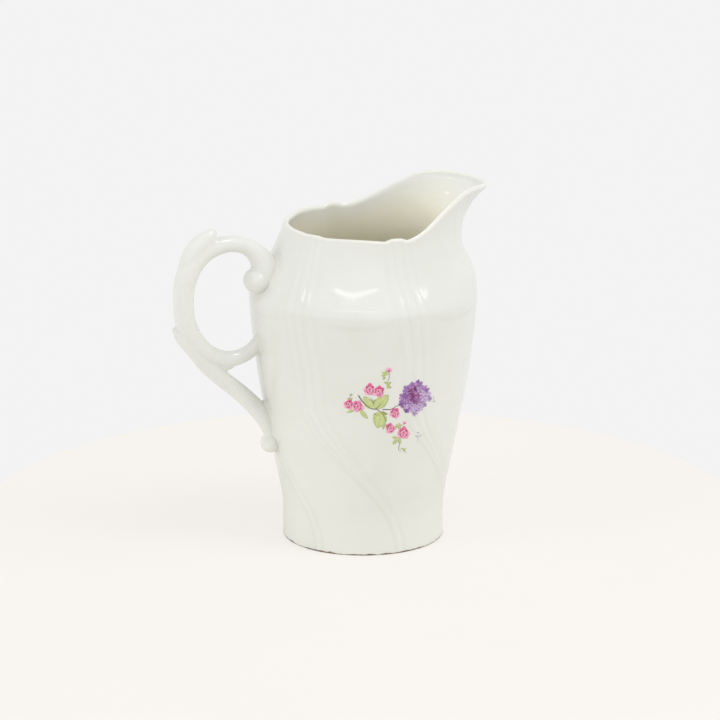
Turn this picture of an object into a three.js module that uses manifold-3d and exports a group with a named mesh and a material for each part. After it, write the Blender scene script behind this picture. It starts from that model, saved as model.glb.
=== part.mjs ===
// Milk jug: a cast porcelain body with swirling bundles of reeds and a wide lip, a scrolled
// handle stuck on with slip at three places, and a flower spray in enamel over the glaze.
// Millimetres, +Z up, lip towards +X, handle towards -X. The origin is on the table, in the
// middle of the jug's length and width.

import * as THREE from 'three';
import { mergeVertices } from 'three/addons/utils/BufferGeometryUtils.js';
import Module from 'manifold-3d';

const wasm = await Module();
wasm.setup();
const { clamp, degToRad, euclideanModulo, lerp, smoothstep } = THREE.MathUtils;

// Body
const FOOT_RADIUS = 34.7;
const FOOT_HEIGHT = 16.4;
const FOOT_RING = 4;
const FOOT_RECESS = 1.2;
const SHOULDER_RADIUS = 48.7;
const SHOULDER_HEIGHT = 106.8;
const NECK_RADIUS = 36.8;
const NECK_HEIGHT = 31.5;
const WALL = 2.8;
const LIP = 1.8;
const FLOOR = 4.5;
const FLARE_LOW = 0.46;
const FLARE_HIGH = 0.88;
const SHOULDER_ROUND = 0.14;
const NECK_DRAW = 0.9;
const NECK_DRAW_AT = 0.45;
const RIM_EDGE = 1;
const FOOT_EDGE = 0.5;

// Lip outline
const SPOUT_REACH = 56;
const SPOUT_RISE = 15.9;
const SPOUT_DIP = 3.7;
const SPOUT_CREST = degToRad(24);
const SPOUT_ENDS = degToRad(82);
const SPOUT_LEAVES = degToRad(58);
const SPOUT_TIP = degToRad(6.6);
const NECK_LEAN = 3.2;
const LIP_TURN = 3.2;
const RIM_BUMP = 0.75;
const RIM_DIP = -0.5;
const RIM_ARCH = 0.3;
const RIM_TILT = 0.5;

// Reeds, in bundles of three with a sunk panel between bundles
const BUNDLES = 6;
const REEDS = 3;
const BUNDLE_HALF_TOP = degToRad(12);
const BUNDLE_HALF_FOOT = degToRad(4);
const BUNDLE_TAPER = 1.5;
const REED_PROUD = 0.45;
const PANEL_SUNK = 0.45;
const FOOT_RELIEF = 0.4;
const SWIRL = degToRad(67);
const SWIRL_TOP = 85;
const SWAG = 6;
const PANEL_EDGE = 3.5;

// Joints and enamel
const GAP = 0.3;
const SLIP = 0.6;
const SLIP_SPREAD = 0.9;
const ENAMEL = 0.4;

// Handle
const UPPER_PEARL = 5.2;
const LOWER_PEARL = 4.3;
const UPPER_PEARL_RISE = 9.5;
const UPPER_PEARL_OUT = -0.4;
const LOWER_PEARL_HEIGHT = 44.4;
const LOWER_PEARL_OUT = 1.8;
const HANDLE_STEP = 1;
const BREADTH = 1.02;

// Flower spray
const SPRAY_AZIMUTH = degToRad(-100);
const SPRAY_HEIGHT = 68.8;
const BLOSSOM_RADIUS = 6.6;
const ROSE_RADIUS = 2.3;
const BUD_RADIUS = 1.7;
const STEM_WIDTH = 0.9;
const LEAF_WIDTH = 3;
const BLOSSOM_LOBES = 9;
const BLOSSOM_SWELL = 1.3;
const ROSE_STEM_BOW = 0.3;
const BLOSSOM_STEM_BOW = -0.8;

// Places in the spray, to the right of its middle and above it
const BLOSSOM = [14.4, 3.8];
const TOP_BUD = [2.1, 16.7];
const LEFT_ROSES = [[-14, 1.2], [-10.4, 0]];
const TOP_ROSES = [[-6.1, 8.1], [-1.8, 7.2]];
const MIDDLE_ROSE = [5.7, -3.6];
const LOWER_LEFT_ROSE = [3.8, -11];
const LOWER_RIGHT_ROSE = [10.1, -13.9];
const STEM_JOINT = [-2.9, -0.8];
const LEAF_TIPS = [[-7.4, 3.8], [1.8, 4.6], [0.8, -8.4], [-7.2, -3.6]];

// Fineness of the faces
const BUNDLE_COLUMNS = 6;
const PANEL_COLUMNS = 6;
const FLARE_ROWS = 11;
const NECK_ROWS = 10;
const INSIDE_ROWS = 6;
const BAR_SIDES = 10;
const LOOP_ROWS = 44;
const STRUT_ROWS = 26;
const SPUR_ROWS = 9;
const JOINT_ROWS = 10;
const PEARL_SIDES = 14;
const PEARL_ROWS = 10;
const CURVE_ROWS = 5;
const SEARCH_ROWS = 200;

const COLUMNS = BUNDLES * (BUNDLE_COLUMNS + PANEL_COLUMNS);
const SECTOR = (2 * Math.PI) / BUNDLES;
const RIM_HEIGHT = SHOULDER_HEIGHT + NECK_HEIGHT;
const SAME_PLACE = 1e-4;

const at = (x, y) => new THREE.Vector2(x, y);

// Turns a geometry into a solid for joining and cutting; triangles with no area are dropped.
function solid(geometry) {
  geometry.deleteAttribute('normal');
  geometry.deleteAttribute('uv');
  const merged = mergeVertices(geometry, SAME_PLACE);
  const corners = merged.index.array;
  const kept = [];
  for (let i = 0; i < corners.length; i += 3) {
    const [a, b, c] = corners.slice(i, i + 3);
    if (a !== b && b !== c && c !== a) kept.push(a, b, c);
  }
  const triVerts = new Uint32Array(kept);
  const vertProperties = merged.attributes.position.array;
  return new wasm.Manifold(new wasm.Mesh({ numProp: 3, vertProperties, triVerts }));
}

// The upright foot band opens into this curve, a third and two thirds of the way up by the low
// and the high share of its growth, and it ends nearly upright at the shoulder ridge.
function flareCurve(inset) {
  const top = SHOULDER_RADIUS - inset;
  const foot = FOOT_RADIUS - inset;
  const rise = SHOULDER_HEIGHT - FOOT_HEIGHT;
  return new THREE.CubicBezierCurve(
    at(foot, FOOT_HEIGHT),
    at(lerp(foot, top, FLARE_LOW), FOOT_HEIGHT + rise / 3),
    at(lerp(foot, top, FLARE_HIGH), SHOULDER_HEIGHT - rise / 3),
    at(top, SHOULDER_HEIGHT),
  );
}

// From the shoulder ridge the neck rounds over and draws in to the rim.
function neckCurve(inset, rimInset) {
  const shoulder = SHOULDER_RADIUS - inset;
  const rim = NECK_RADIUS - rimInset;
  return new THREE.CubicBezierCurve(
    at(shoulder, SHOULDER_HEIGHT),
    at(shoulder, SHOULDER_HEIGHT + NECK_HEIGHT * SHOULDER_ROUND),
    at(lerp(shoulder, rim, NECK_DRAW), SHOULDER_HEIGHT + NECK_HEIGHT * NECK_DRAW_AT),
    at(rim, RIM_HEIGHT - RIM_EDGE),
  );
}

function wallRadius(height) {
  const points = flareCurve(0).getPoints(SEARCH_ROWS);
  return points.find((point) => point.y >= height).x;
}

// How far the lip stands out from the neck circle at an azimuth: two straight sides that leave
// the circle and meet in a rounded tip.
function spoutReach(azimuth) {
  const blunt = Math.cbrt(Math.abs(azimuth) ** 3 + SPOUT_TIP ** 3);
  const side = (angle) => 1 / Math.cos(SPOUT_LEAVES - Math.min(angle, SPOUT_LEAVES)) - 1;
  return ((SPOUT_REACH - NECK_RADIUS - NECK_LEAN) * side(blunt)) / side(SPOUT_TIP);
}

function spoutRise(azimuth) {
  const size = Math.abs(azimuth);
  const climb = 1 - smoothstep(size, SPOUT_CREST, SPOUT_ENDS);
  const dip = 1 - smoothstep(size, 0, SPOUT_CREST);
  return SPOUT_RISE * climb - SPOUT_DIP * dip;
}

// Moves a point of the plain turned jug to its place on the finished one: the columns gather
// into reed bundles that swirl below the shoulder, the panels sink, and the lip is drawn out.
function finish(point, relief) {
  const radius = Math.hypot(point.x, point.y);
  const column = Math.atan2(point.y, point.x);
  const across = euclideanModulo(column, SECTOR) - SECTOR / 2;
  const size = Math.abs(across);
  const even = (SECTOR / 2) * (BUNDLE_COLUMNS / (BUNDLE_COLUMNS + PANEL_COLUMNS));
  const swirl = 1 - smoothstep(point.z, 0, SWIRL_TOP);
  const half = lerp(BUNDLE_HALF_FOOT, BUNDLE_HALF_TOP, (1 - swirl) ** BUNDLE_TAPER);
  const inBundle = size < even + SAME_PLACE;
  const out = inBundle ? size / even : (size - even) / (SECTOR / 2 - even);
  const placed = inBundle ? out * half : lerp(half, SECTOR / 2, out);
  const azimuth = column - across + Math.sign(across) * placed + SWIRL * swirl;

  const strength = lerp(1, FOOT_RELIEF, swirl);
  const reeds = Math.abs(Math.cos((REEDS * Math.PI * out) / 2));
  const rib = Math.cos((Math.PI * out) / 2);
  const swagEdge = SHOULDER_HEIGHT - SWAG * (2 - out) * out;
  const below = 1 - smoothstep(point.z, swagEdge - PANEL_EDGE, swagEdge);
  const above = smoothstep(point.z, SHOULDER_HEIGHT + PANEL_EDGE, SHOULDER_HEIGHT + 2 * PANEL_EDGE);
  const proud = inBundle
    ? REED_PROUD * lerp(reeds, rib, swirl)
    : -PANEL_SUNK * (below + above) * Math.min(1, 2 * out);

  const up = clamp((point.z - SHOULDER_HEIGHT) / NECK_HEIGHT, 0, 1);
  const wave = inBundle
    ? lerp(RIM_BUMP, RIM_DIP, smoothstep(out, 0, 1))
    : lerp(RIM_DIP, RIM_ARCH, Math.sin((Math.PI * out) / 2));
  const lip = NECK_LEAN * Math.cos(azimuth) + spoutReach(azimuth);
  const finished = radius + lip * up ** LIP_TURN + (relief ? proud * strength : 0);
  const aside = Math.sin(azimuth);
  const height = point.z + up * (spoutRise(azimuth) + wave * aside ** 2 + RIM_TILT * aside);
  return point.set(finished * Math.cos(azimuth), finished * Math.sin(azimuth), height);
}

// Revolves a profile and finishes it; relief is cut into the first points of the profile.
function turned(profile, reliefPoints) {
  const geometry = new THREE.LatheGeometry(profile, COLUMNS).rotateX(Math.PI / 2);
  const position = geometry.attributes.position;
  const point = new THREE.Vector3();
  for (let i = 0; i < position.count; i += 1) {
    const order = i % profile.length;
    point.fromBufferAttribute(position, i);
    if (profile[order].x > 0) finish(point, order < reliefPoints);
    position.setXYZ(i, point.x, point.y, point.z);
  }
  return solid(geometry);
}

// The outside of the jug from the edge of the foot to the outer edge of the rim.
function outsideProfile() {
  return [
    at(FOOT_RADIUS - FOOT_EDGE, 0),
    at(FOOT_RADIUS, FOOT_EDGE),
    at(FOOT_RADIUS, FOOT_HEIGHT / 2),
    ...flareCurve(0).getPoints(FLARE_ROWS),
    ...neckCurve(0, 0).getPoints(NECK_ROWS).slice(1),
  ];
}

function bodySolid() {
  const ring = FOOT_RADIUS - FOOT_RING;
  const underside = [at(0, FOOT_RECESS), at(ring - FOOT_RECESS, FOOT_RECESS), at(ring, 0)];
  const outside = [...underside, ...outsideProfile()];
  const rim = at(NECK_RADIUS - LIP / 2, RIM_HEIGHT);
  const inside = [
    ...neckCurve(WALL, LIP).getPoints(INSIDE_ROWS).reverse(),
    ...flareCurve(WALL).getPoints(INSIDE_ROWS).reverse().slice(1),
    at(FOOT_RADIUS - WALL, FLOOR + WALL),
    at(FOOT_RADIUS - 2 * WALL, FLOOR),
    at(0, FLOOR),
  ];
  return turned([...outside, rim, ...inside], outside.length);
}

// The jug's outside as a filled block, grown by a distance, for cutting what stands on it.
function outsideBlock(grow) {
  const grown = outsideProfile().map((point) => at(point.x + grow, point.y));
  const profile = [at(0, 0), ...grown, at(0, RIM_HEIGHT - RIM_EDGE)];
  return turned(profile, profile.length - 1);
}

// A bar in the upright plane of the handle through stations of distance out, height and half
// thickness; the curve carries the half thickness as its Y.
function bar(stations, steps, swell) {
  const line = stations.map(([out, up, half]) => new THREE.Vector3(-out, half + swell, up));
  const curve = new THREE.CatmullRomCurve3(line);
  const geometry = new THREE.CylinderGeometry(1, 1, 1, BAR_SIDES, steps);
  const position = geometry.attributes.position;
  for (let i = 0; i < position.count; i += 1) {
    const along = position.getY(i) + 0.5;
    const centre = curve.getPoint(along);
    const heading = curve.getTangent(along).setY(0).normalize();
    const thick = position.getX(i) * centre.y;
    const broad = position.getZ(i) * centre.y * BREADTH;
    position.setXYZ(i, centre.x - heading.z * thick, broad, centre.z + heading.x * thick);
  }
  return solid(geometry);
}

function pearl(radius, [out, up]) {
  const ball = new THREE.SphereGeometry(radius, PEARL_SIDES, PEARL_ROWS);
  return solid(ball.translate(-out, 0, up));
}

// Handle stations, counted in handle steps from a place on the body: the shoulder ridge, or the
// wall behind the lower pearl.
const lowerWall = wallRadius(LOWER_PEARL_HEIGHT);
const stationFrom = (radius, height) => (steps) => {
  const [out, up, half] = steps.map((count) => count * HANDLE_STEP);
  return [radius + out, height + up, half];
};
const fromShoulder = stationFrom(SHOULDER_RADIUS, SHOULDER_HEIGHT);
const fromLowerWall = stationFrom(lowerWall, LOWER_PEARL_HEIGHT);

const LOOP_START = [[-6.2, 6, 6], [-4.8, 13.8, 6.1], [-1.7, 20, 4.6]].map(fromShoulder);
const LOOP_MIDDLE = [
  [2.6, 23.9, 3.8],
  [8.2, 25.8, 3.5],
  [14.2, 25.8, 3.7],
  [20.2, 24, 4.1],
  [25.4, 20.6, 4.6],
  [29.4, 14.6, 4.8],
  [31.3, 7, 4.6],
  [31.4, 0, 4.5],
  [30.6, -6.4, 4.5],
  [27.6, -13.4, 4.4],
  [21.7, -20.4, 4.2],
].map(fromShoulder);
const LOOP_END = [
  [14.1, -23.5, 3.7],
  [7.6, -23.4, 3.3],
  [2.4, -21.2, 3.1],
  [-1.2, -16.5, 3],
  [-3.2, -11.5, 2],
].map(fromShoulder);
const STRUT_TOP = [[36.4, -8.2, 0.8], [32.6, -12.8, 2.7], [27.2, -18.4, 3.5]].map(fromShoulder);
const STRUT_MIDDLE = [[30.1, 37, 3.6], [23.6, 30.7, 3.6]].map(fromLowerWall);
const STRUT_END = [
  [16, 24.1, 3.7],
  [9.4, 17.5, 3.8],
  [4.5, 11.3, 3.8],
  [1.9, 5.8, 3.4],
  [0.8, 1, 2.8],
].map(fromLowerWall);
const THUMB_SPUR = [
  [32, 17, 2.8],
  [28.6, 24, 3.3],
  [24.2, 28.2, 3],
  [20.9, 31.4, 1.9],
  [19.7, 33.2, 0.9],
].map(fromShoulder);
const UPPER_SEAT = [SHOULDER_RADIUS + UPPER_PEARL_OUT, SHOULDER_HEIGHT + UPPER_PEARL_RISE];
const LOWER_SEAT = [lowerWall + LOWER_PEARL_OUT, LOWER_PEARL_HEIGHT];

function handleSolid(cutter) {
  return bar([...LOOP_START, ...LOOP_MIDDLE, ...LOOP_END], LOOP_ROWS, 0)
    .add(bar([...STRUT_TOP, ...STRUT_MIDDLE, ...STRUT_END], STRUT_ROWS, 0))
    .add(bar(THUMB_SPUR, SPUR_ROWS, 0))
    .add(pearl(UPPER_PEARL, UPPER_SEAT))
    .add(pearl(LOWER_PEARL, LOWER_SEAT))
    .subtract(cutter);
}

// The largest body of a solid, without slivers cut off beside it.
function mainBody(made) {
  return made.decompose().reduce((best, next) => (next.volume() > best.volume() ? next : best));
}

// A film on the jug's outside, from a distance off the wall and as thick as given.
function film(distance, thickness) {
  return outsideBlock(distance + thickness).subtract(outsideBlock(distance));
}

// Drawing plane of the spray: X to the right along the wall, Y up, Z straight out of the jug.
const sprayPlane = new THREE.Matrix4().makeBasis(
  new THREE.Vector3(-Math.sin(SPRAY_AZIMUTH), Math.cos(SPRAY_AZIMUTH), 0),
  new THREE.Vector3(0, 0, 1),
  new THREE.Vector3(Math.cos(SPRAY_AZIMUTH), Math.sin(SPRAY_AZIMUTH), 0),
).setPosition(0, 0, SPRAY_HEIGHT);

function punch(shape) {
  const options = { depth: 2 * SHOULDER_RADIUS, bevelEnabled: false, curveSegments: CURVE_ROWS };
  return solid(new THREE.ExtrudeGeometry(shape, options).applyMatrix4(sprayPlane));
}

function dot([x, y], radius) {
  return punch(new THREE.Shape().absarc(x, y, radius, 0, 2 * Math.PI));
}

// A round flower head with a lobed edge.
function blossom([x, y], radius) {
  const shape = new THREE.Shape();
  const swell = radius * BLOSSOM_SWELL;
  shape.moveTo(x + radius, y);
  for (let i = 1; i <= BLOSSOM_LOBES; i += 1) {
    const turn = (2 * Math.PI * i) / BLOSSOM_LOBES;
    const middle = turn - Math.PI / BLOSSOM_LOBES;
    shape.quadraticCurveTo(
      x + swell * Math.cos(middle),
      y + swell * Math.sin(middle),
      x + radius * Math.cos(turn),
      y + radius * Math.sin(turn),
    );
  }
  return punch(shape);
}

// A line of even width from one place to another, bowed to its left by a distance.
function stem(from, to, bow) {
  const start = at(...from);
  const end = at(...to);
  const side = end.clone().sub(start).normalize().rotateAround(at(0, 0), Math.PI / 2);
  const edge = side.clone().multiplyScalar(STEM_WIDTH / 2);
  const middle = start.clone().lerp(end, 0.5).addScaledVector(side, 2 * bow);
  const left = [start, middle, end].map((point) => point.clone().add(edge));
  const right = [start, middle, end].map((point) => point.clone().sub(edge));
  const shape = new THREE.Shape();
  shape.moveTo(right[0].x, right[0].y);
  shape.quadraticCurveTo(right[1].x, right[1].y, right[2].x, right[2].y);
  shape.lineTo(left[2].x, left[2].y);
  shape.quadraticCurveTo(left[1].x, left[1].y, left[0].x, left[0].y);
  return punch(shape);
}

// A leaf from its stalk to its point.
function leaf(from, to) {
  const start = at(...from);
  const end = at(...to);
  const side = end.clone().sub(start).normalize().rotateAround(at(0, 0), Math.PI / 2);
  const middle = start.clone().lerp(end, 0.5);
  const left = middle.clone().addScaledVector(side, LEAF_WIDTH);
  const right = middle.clone().addScaledVector(side, -LEAF_WIDTH);
  const shape = new THREE.Shape();
  shape.moveTo(start.x, start.y);
  shape.quadraticCurveTo(right.x, right.y, end.x, end.y);
  shape.quadraticCurveTo(left.x, left.y, start.x, start.y);
  return punch(shape);
}

const together = (solids) => solids.reduce((all, next) => all.add(next));

const GLOSS = 0.2;
const GLAZE = '#e9e7dc';
const SLIP_WHITE = '#e3e0d4';
const PINK = '#d8709f';
const LILAC = '#a878c0';
const LEAF_GREEN = '#9fae5c';

const jug = new THREE.Group();
jug.name = 'milk_jug';

function place(name, made, color) {
  const { vertProperties, triVerts } = made.getMesh();
  const geometry = new THREE.BufferGeometry();
  geometry.setAttribute('position', new THREE.BufferAttribute(vertProperties, 3));
  geometry.setIndex(new THREE.BufferAttribute(triVerts, 1));
  geometry.computeVertexNormals();
  const material = new THREE.MeshStandardMaterial({ color, roughness: GLOSS, metalness: 0 });
  const mesh = new THREE.Mesh(geometry, material);
  mesh.name = name;
  jug.add(mesh);
}

// Body, handle and the three slip joints between them
place('jug_body', bodySolid(), GLAZE);
place('scroll_handle', handleSolid(outsideBlock(2 * GAP + SLIP)), GLAZE);

const slipFilm = film(GAP, SLIP);
const upperRoot = bar(LOOP_START, JOINT_ROWS, SLIP_SPREAD)
  .add(pearl(UPPER_PEARL + SLIP_SPREAD, UPPER_SEAT));
const middleRoot = bar(LOOP_END, JOINT_ROWS, SLIP_SPREAD);
const lowerRoot = bar(STRUT_END, JOINT_ROWS, SLIP_SPREAD)
  .add(pearl(LOWER_PEARL + SLIP_SPREAD, LOWER_SEAT));
place('upper_slip_joint', mainBody(upperRoot.intersect(slipFilm)), SLIP_WHITE);
place('middle_slip_joint', mainBody(middleRoot.intersect(slipFilm)), SLIP_WHITE);
place('lower_slip_joint', mainBody(lowerRoot.intersect(slipFilm)), SLIP_WHITE);

// Flower spray
const enamelFilm = film(GAP, ENAMEL);
const enamel = (made) => mainBody(made.intersect(enamelFilm));
const rose = (place) => dot(place, ROSE_RADIUS);
const roseEdge = [LEFT_ROSES[1][0] + ROSE_RADIUS + STEM_WIDTH, LEFT_ROSES[1][1]];
const blossomEdge = [BLOSSOM[0] - BLOSSOM_RADIUS - 2 * STEM_WIDTH, STEM_JOINT[1] + 2 * STEM_WIDTH];
const roseStem = stem(STEM_JOINT, roseEdge, ROSE_STEM_BOW);
const blossomStem = stem(STEM_JOINT, blossomEdge, BLOSSOM_STEM_BOW);
const leaves = LEAF_TIPS.map((tip) => leaf(STEM_JOINT, tip));
place('leafy_stem_enamel', enamel(together([roseStem, blossomStem, ...leaves])), LEAF_GREEN);
place('blossom_enamel', enamel(blossom(BLOSSOM, BLOSSOM_RADIUS)), LILAC);
place('bud_enamel', enamel(dot(TOP_BUD, BUD_RADIUS)), PINK);
place('left_roses_enamel', enamel(together(LEFT_ROSES.map(rose))), PINK);
place('top_roses_enamel', enamel(together(TOP_ROSES.map(rose))), PINK);
place('middle_rose_enamel', enamel(rose(MIDDLE_ROSE)), PINK);
place('lower_left_rose_enamel', enamel(rose(LOWER_LEFT_ROSE)), PINK);
place('lower_right_rose_enamel', enamel(rose(LOWER_RIGHT_ROSE)), PINK);

// The origin goes to the middle of the jug's length and width.
const middle = new THREE.Box3().setFromObject(jug).getCenter(new THREE.Vector3());
for (const mesh of jug.children) mesh.geometry.translate(-middle.x, -middle.y, 0);

export default jug;
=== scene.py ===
"""Milk jug: a porcelain body with swirled reeds, a scrolled handle and a flower spray in enamel.

Lengths are metres. The jug stands on z = 0, its lip points to +X and its handle to -X.
"""

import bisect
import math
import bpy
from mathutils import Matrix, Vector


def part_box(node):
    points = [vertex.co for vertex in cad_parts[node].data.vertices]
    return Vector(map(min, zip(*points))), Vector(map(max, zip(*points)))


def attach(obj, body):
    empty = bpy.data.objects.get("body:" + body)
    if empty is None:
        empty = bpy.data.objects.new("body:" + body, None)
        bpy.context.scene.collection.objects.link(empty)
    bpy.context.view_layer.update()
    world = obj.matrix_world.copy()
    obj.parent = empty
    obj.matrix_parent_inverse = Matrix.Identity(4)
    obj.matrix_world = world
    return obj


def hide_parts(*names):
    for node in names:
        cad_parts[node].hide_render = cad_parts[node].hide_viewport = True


bl_info = {
    "name": "Milk Jug",
    "version": (1, 0, 0),
    "blender": (4, 5, 0),
    "location": "3D View > Sidebar > Milk Jug",
    "description": "Builds a porcelain milk jug with a scrolled handle and a flower spray",
    "category": "Object",
}

import bmesh
import bpy
from mathutils import Matrix, Vector, noise
from mathutils.geometry import interpolate_bezier

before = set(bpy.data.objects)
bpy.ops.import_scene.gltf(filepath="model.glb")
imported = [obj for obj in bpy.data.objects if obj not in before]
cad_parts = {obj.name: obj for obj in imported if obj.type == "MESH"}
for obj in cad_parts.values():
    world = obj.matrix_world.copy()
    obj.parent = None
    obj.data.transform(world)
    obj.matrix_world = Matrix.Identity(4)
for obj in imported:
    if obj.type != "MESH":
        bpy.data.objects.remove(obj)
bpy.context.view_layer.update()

MM = 0.001
TINY = 1e-6


def srgb(red, green, blue):
    """A colour given in screen values from 0 to 255, as linear RGBA."""
    def linear(value):
        value /= 255
        return value / 12.92 if value <= 0.04045 else ((value + 0.055) / 1.055) ** 2.4
    return (linear(red), linear(green), linear(blue), 1.0)


def lerp(a, b, t):
    return a + (b - a) * t


def blend(a, b, t):
    """Mixes two colours."""
    return tuple(lerp(x, y, t) for x, y in zip(a, b))


def smoothstep(value, low, high):
    t = min(1.0, max(0.0, (value - low) / (high - low)))
    return t * t * (3 - 2 * t)


def length(label, text, millimetres):
    return bpy.props.FloatProperty(
        name=label, description=text, default=millimetres * MM, min=0, unit="LENGTH", precision=5
    )


def angle(label, text, degrees):
    return bpy.props.FloatProperty(
        name=label, description=text, default=math.radians(degrees), subtype="ANGLE",
        unit="ROTATION",
    )


def share(label, text, value):
    return bpy.props.FloatProperty(name=label, description=text, default=value)


def tint(label, text, red, green, blue):
    return bpy.props.FloatVectorProperty(
        name=label, description=text, default=srgb(red, green, blue), size=4, min=0, max=1,
        subtype="COLOR",
    )


def paints(colours, *names):
    """Colours of the panel by name, as plain values."""
    return [tuple(getattr(colours, name)) for name in names]


def smoothed(bm, strokes):
    """Wipes a mesh smooth."""
    for _ in range(strokes):
        bmesh.ops.smooth_vert(
            bm, verts=bm.verts[:], factor=0.5, use_axis_x=True, use_axis_y=True, use_axis_z=True
        )


def thickened(bm):
    """Gives a skin its second side and returns the places of that side."""
    grown = bmesh.ops.extrude_face_region(bm, geom=bm.faces[:])
    return [item for item in grown["geom"] if isinstance(item, bmesh.types.BMVert)]


class MilkJugSizes(bpy.types.PropertyGroup):
    """Sizes of the body, its relief, the joints and the print."""

    foot_radius: length("Foot radius", "Outer radius of the foot", 34.7)
    foot_height: length("Foot height", "Height of the upright band above the foot", 16.4)
    foot_ring: length("Foot ring", "Width of the ring that the jug stands on", 4.0)
    foot_recess: length("Foot recess", "Depth of the hollow inside the foot ring", 1.2)
    foot_edge: length("Foot edge", "Rounding of the foot's outer edge", 0.5)
    shoulder_radius: length("Shoulder radius", "Radius of the shoulder ridge", 48.7)
    shoulder_height: length("Shoulder height", "Height of the shoulder ridge", 106.8)
    neck_radius: length("Neck radius", "Outer radius of the neck at the rim", 36.8)
    neck_height: length("Neck height", "Height of the neck above the shoulder ridge", 31.5)
    wall: length("Wall", "Thickness of the wall", 2.8)
    lip: length("Lip", "Thickness of the outer rounding of the rim", 1.8)
    rim_slope: length("Rim slope", "Width of the inner slope of the rim", 1.6)
    rim_drop: length("Rim drop", "Height of the inner slope of the rim", 1.9)
    floor: length("Floor", "Height of the inside floor above the table", 4.5)
    rim_edge: length("Rim edge", "Height of the rounding of the rim", 1.3)
    spout_reach: length("Lip reach", "Distance of the pouring tip from the jug's axis", 55.15)
    spout_rise: length("Lip rise", "Height of the lip's crests above the rim", 15.6)
    spout_dip: length("Lip dip", "Dip of the pouring tip below its crests", 1.5)
    spout_crest: angle("Lip crest", "Azimuth of the crests beside the pouring tip", 21)
    spout_ends: angle("Lip end", "Azimuth where the lip has come down to the rim", 82)
    spout_leaves: angle("Lip start", "Azimuth where the lip leaves the neck's circle", 58)
    spout_tip: angle("Lip tip", "Half width of the rounded pouring tip", 13)
    rim_tilt: length("Rim tilt", "Height of the far side of the rim above its middle", 0.9)
    throat: length("Throat", "Fullness of the shoulder under the lip", 2.2)
    neck_lean: length("Neck lean", "Lean of the rim towards the lip", 3.2)
    lip_turn: share("Lip turn", "How late the neck turns out into the lip", 3.2)
    bundle_top: angle("Bundle at shoulder", "Half width of a reed bundle at the shoulder", 8.5)
    bundle_foot: angle("Bundle at foot", "Half width of a reed bundle at the foot", 2.8)
    swirl: angle("Swirl", "Turn of the reed bundles from the middle to the foot", 57)
    neck_swirl: angle("Neck swirl", "Turn of the reed bundles from the rim to the middle", 8)
    reed_start: angle("Reed start", "Turn of the reed bundles at the rim", 2.5)
    swirl_top: length("Swirl top", "Height where the reeds begin to turn", 71.0)
    reed_proud: length("Reed height", "Height of a reed", 0.18)
    panel_sunk: length("Panel depth", "Depth of a panel between two bundles", 0.2)
    neck_relief: share("Neck relief", "Share of the relief that is left at the rim", 0.4)
    foot_relief: share("Foot relief", "Share of the relief that is left at the foot", 0.3)
    swag: length("Swag", "Sag of a panel's upper edge under the shoulder", 2.4)
    panel_edge: length("Panel edge", "Width of the slope at a panel's end", 3.0)
    fillet: length("Slip fillet", "Reach of the joining slip around the handle's roots", 3.2)
    pearl_top: length("Upper pearl", "Radius of the pearl on the shoulder", 5.5)
    pearl_low: length("Lower pearl", "Radius of the pearl at the strut's end", 4.3)
    pearl_low_height: length("Lower pearl height", "Height of the lower pearl", 44.4)
    spray_height: length("Spray height", "Height of the middle of the flower spray", 68.8)
    spray_azimuth: angle("Spray azimuth", "Azimuth of the middle of the flower spray", -100)


class MilkJugColours(bpy.types.PropertyGroup):
    """Colours of the glaze and of the enamels."""

    glaze: tint("Glaze", "Warm white of the glazed porcelain", 235, 236, 231)
    # The thick glaze tone, which also paints shade into the grooves and under the swags.
    pooled: tint("Pooled glaze", "Glaze where it lies thick in the grooves", 214, 215, 203)
    rim: tint("Rim", "Glaze that has run thin on the rim", 243, 241, 233)
    # Creamier than the glaze, and brightened as painted light for the light that reaches the
    # inside.
    inside: tint("Inside", "Glaze on the inside of the jug", 251, 248, 231)
    # Unglazed, stained paste at the foot's edge, darkened also as painted contact shadow on the
    # table.
    bare_foot_and_shadow: tint("Bare foot", "Unglazed paste on the edge of the foot", 118, 100, 80)
    slip: tint("Slip", "Joining slip under the glaze", 232, 232, 225)
    rose: tint("Rose", "Pink of the rose petals", 232, 112, 160)
    rose_pale: tint("Pale rose", "Pale cups of the roses", 252, 206, 224)
    rose_deep: tint("Deep rose", "Dark strokes of the roses", 168, 36, 92)
    lilac: tint("Lilac", "Florets of the blossom", 162, 110, 178)
    lilac_pale: tint("Pale lilac", "Outer florets of the blossom", 216, 190, 226)
    lilac_deep: tint("Deep lilac", "Heart of the blossom", 140, 30, 108)
    lilac_dusk: tint("Dusk lilac", "Shaded roots of the florets", 96, 52, 132)
    leaf: tint("Leaf", "Yellow green of the leaves", 208, 219, 150)
    leaf_edge: tint("Leaf edge", "Olive edges of the leaves", 146, 152, 84)
    stem: tint("Stem", "Grey brown of the stems", 104, 92, 84)
    faint: tint("Faint sprig", "Grey blue of the faint sprigs", 196, 200, 206)


# Bundles of reeds with a panel between each two, and the mesh columns across them.
BUNDLES, REEDS = 6, 3
SECTOR = 2 * math.pi / BUNDLES
BUNDLE_COLUMNS, PANEL_COLUMNS = 30, 24
BUNDLE_TAPER, RIB_SHARE = 1.5, 0.7

# The turned outline: how full its curves are, its mesh rows and how its turns are softened.
FLARE_LOW, FLARE_HIGH = 0.46, 0.88
SHOULDER_ROUND, NECK_DRAW, NECK_DRAW_AT = 0.14, 0.9, 0.45
THROAT_SHARE = 0.5
FLARE_ROWS, NECK_ROWS, INSIDE_ROWS, EDGE_ROWS = 84, 52, 32, 5
BAND_STEPS = tuple(0.06 * i for i in range(1, 17))
FOOT_PASSES, RIDGE_PASSES = 24, 3
RECESS_RING, RECESS_TURN, FLOOR_RING = 0.5, 0.4, 0.4

# Scallops of the rim: a bump over each bundle, a dip beside it and an arch over each panel.
RIM_BUMP, RIM_DIP, RIM_ARCH = 0.6 * MM, -0.45 * MM, 0.3 * MM
BUMP_FLAT = 0.3
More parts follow.
